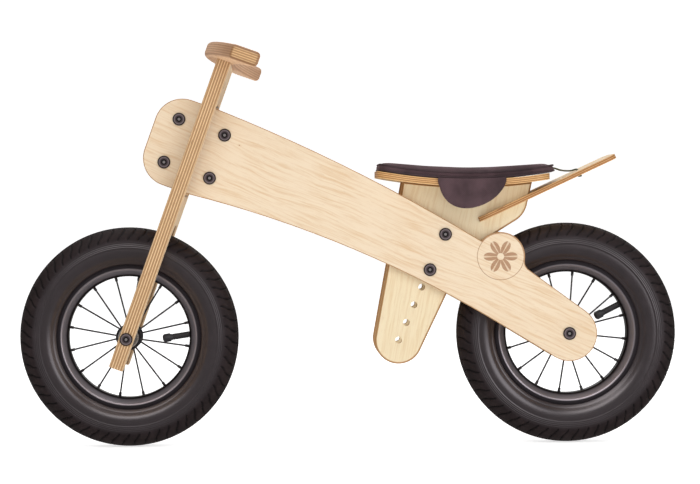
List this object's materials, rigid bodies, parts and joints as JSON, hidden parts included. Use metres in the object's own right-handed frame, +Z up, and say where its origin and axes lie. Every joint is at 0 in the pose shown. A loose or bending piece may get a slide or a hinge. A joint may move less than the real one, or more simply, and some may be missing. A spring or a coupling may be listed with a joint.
{
  "type": "balance bike",
  "caption": "Child's wooden balance bike: plywood frame, turning one-piece fork with curved handlebar, spoked wheels with air tyres, padded seat on a height-adjustable tongue, small mudguard.",
  "frame": {"origin": "centre of the whole bike's box at ground level, under the middle of the wheelbase", "axes": "+Z up, +X towards the rear wheel (the bike faces -X), +Y towards the rider's right-hand side"},
  "size_m": [0.934, 0.356, 0.5725],
  "materials": {
    "panel_birch": "clear-oiled birch plywood face, satin",
    "fork_birch": "clear-oiled birch plywood seen on its layered edge, satin",
    "seat_birch": "clear-oiled birch plywood with browned laser-cut edges, satin",
    "mudguard_birch": "thin clear-oiled birch plywood, satin",
    "handlebar_birch": "clear-oiled birch plywood with rounded edges, satin",
    "inner_birch": "plain birch plywood, matt",
    "bolt_steel": "dark bronzed furniture bolts, satin",
    "zinc_steel": "zinc-plated steel",
    "spoke_steel": "black-coated drawn wire, satin",
    "rim": "grey painted steel rim, satin",
    "hub_black": "black painted steel",
    "hub_silver": "turned aluminium",
    "bearing_steel": "ground bearing steel",
    "tyre": "black moulded tyre rubber with fine sidewall ribs",
    "tube_rubber": "black butyl rubber",
    "tape": "black rim tape",
    "valve_rubber": "black rubber-covered valve stem",
    "cap_plastic": "black moulded plastic",
    "bush_plastic": "white acetal bushes",
    "pad_fabric": "charcoal woven seat cover with piped edge",
    "strap_elastic": "flat woven elastic"
  },
  "bodies": {
    "frame": {"frame_panel_left": "panel_birch", "frame_panel_right": "panel_birch", "head_block": "inner_birch", "head_bushes": "bush_plastic", "head_bolts": "bolt_steel", "head_sleeve_nuts": "bolt_steel", "seat_board_left": "seat_birch", "seat_board_right": "seat_birch", "seat_plate": "seat_birch", "seat_cleats": "inner_birch", "seat_screws": "zinc_steel", "seat_bolts": "bolt_steel", "seat_sleeve_nuts": "bolt_steel", "seat_spacer_tubes": "zinc_steel", "mudguard": "mudguard_birch", "seat_pad": "pad_fabric", "seat_flap_left": "pad_fabric", "seat_flap_right": "pad_fabric", "elastic_strap": "strap_elastic", "rear_axle": "zinc_steel", "rear_axle_bolts": "bolt_steel", "rear_axle_spacers": "zinc_steel"},
    "fork": {"fork_board": "fork_birch", "handlebar": "handlebar_birch", "handlebar_bolts": "bolt_steel", "handlebar_barrel_nuts": "zinc_steel", "steering_bolt": "zinc_steel", "steering_nut": "zinc_steel", "steering_washers": "zinc_steel", "front_axle": "zinc_steel", "front_axle_bolts": "bolt_steel", "front_axle_spacers": "zinc_steel"},
    "front_wheel": {"front_tyre": "tyre", "front_inner_tube": "tube_rubber", "front_rim": "rim", "front_rim_tape": "tape", "front_spokes": "spoke_steel", "front_nipples": "spoke_steel", "front_hub_shell": "hub_black", "front_hub_cups": "hub_silver", "front_bearings": "bearing_steel", "front_valve_stem": "valve_rubber", "front_valve_cap": "cap_plastic"},
    "rear_wheel": {"rear_tyre": "tyre", "rear_inner_tube": "tube_rubber", "rear_rim": "rim", "rear_rim_tape": "tape", "rear_spokes": "spoke_steel", "rear_nipples": "spoke_steel", "rear_hub_shell": "hub_black", "rear_hub_cups": "hub_silver", "rear_bearings": "bearing_steel", "rear_valve_stem": "valve_rubber", "rear_valve_cap": "cap_plastic"}
  },
  "joints": [
    {"name": "steering", "type": "hinge", "parent": "frame", "child": "fork", "pos_m": [-0.311, 0, 0.156], "axis": [0.342, 0, 0.9397], "range_deg": [-23, 23]},
    {"name": "front_wheel_spin", "type": "hinge", "parent": "fork", "child": "front_wheel", "pos_m": [-0.311, 0, 0.156], "axis": [0, 1, 0], "continuous": true},
    {"name": "rear_wheel_spin", "type": "hinge", "parent": "frame", "child": "rear_wheel", "pos_m": [0.311, 0, 0.156], "axis": [0, 1, 0], "continuous": true}
  ]
}
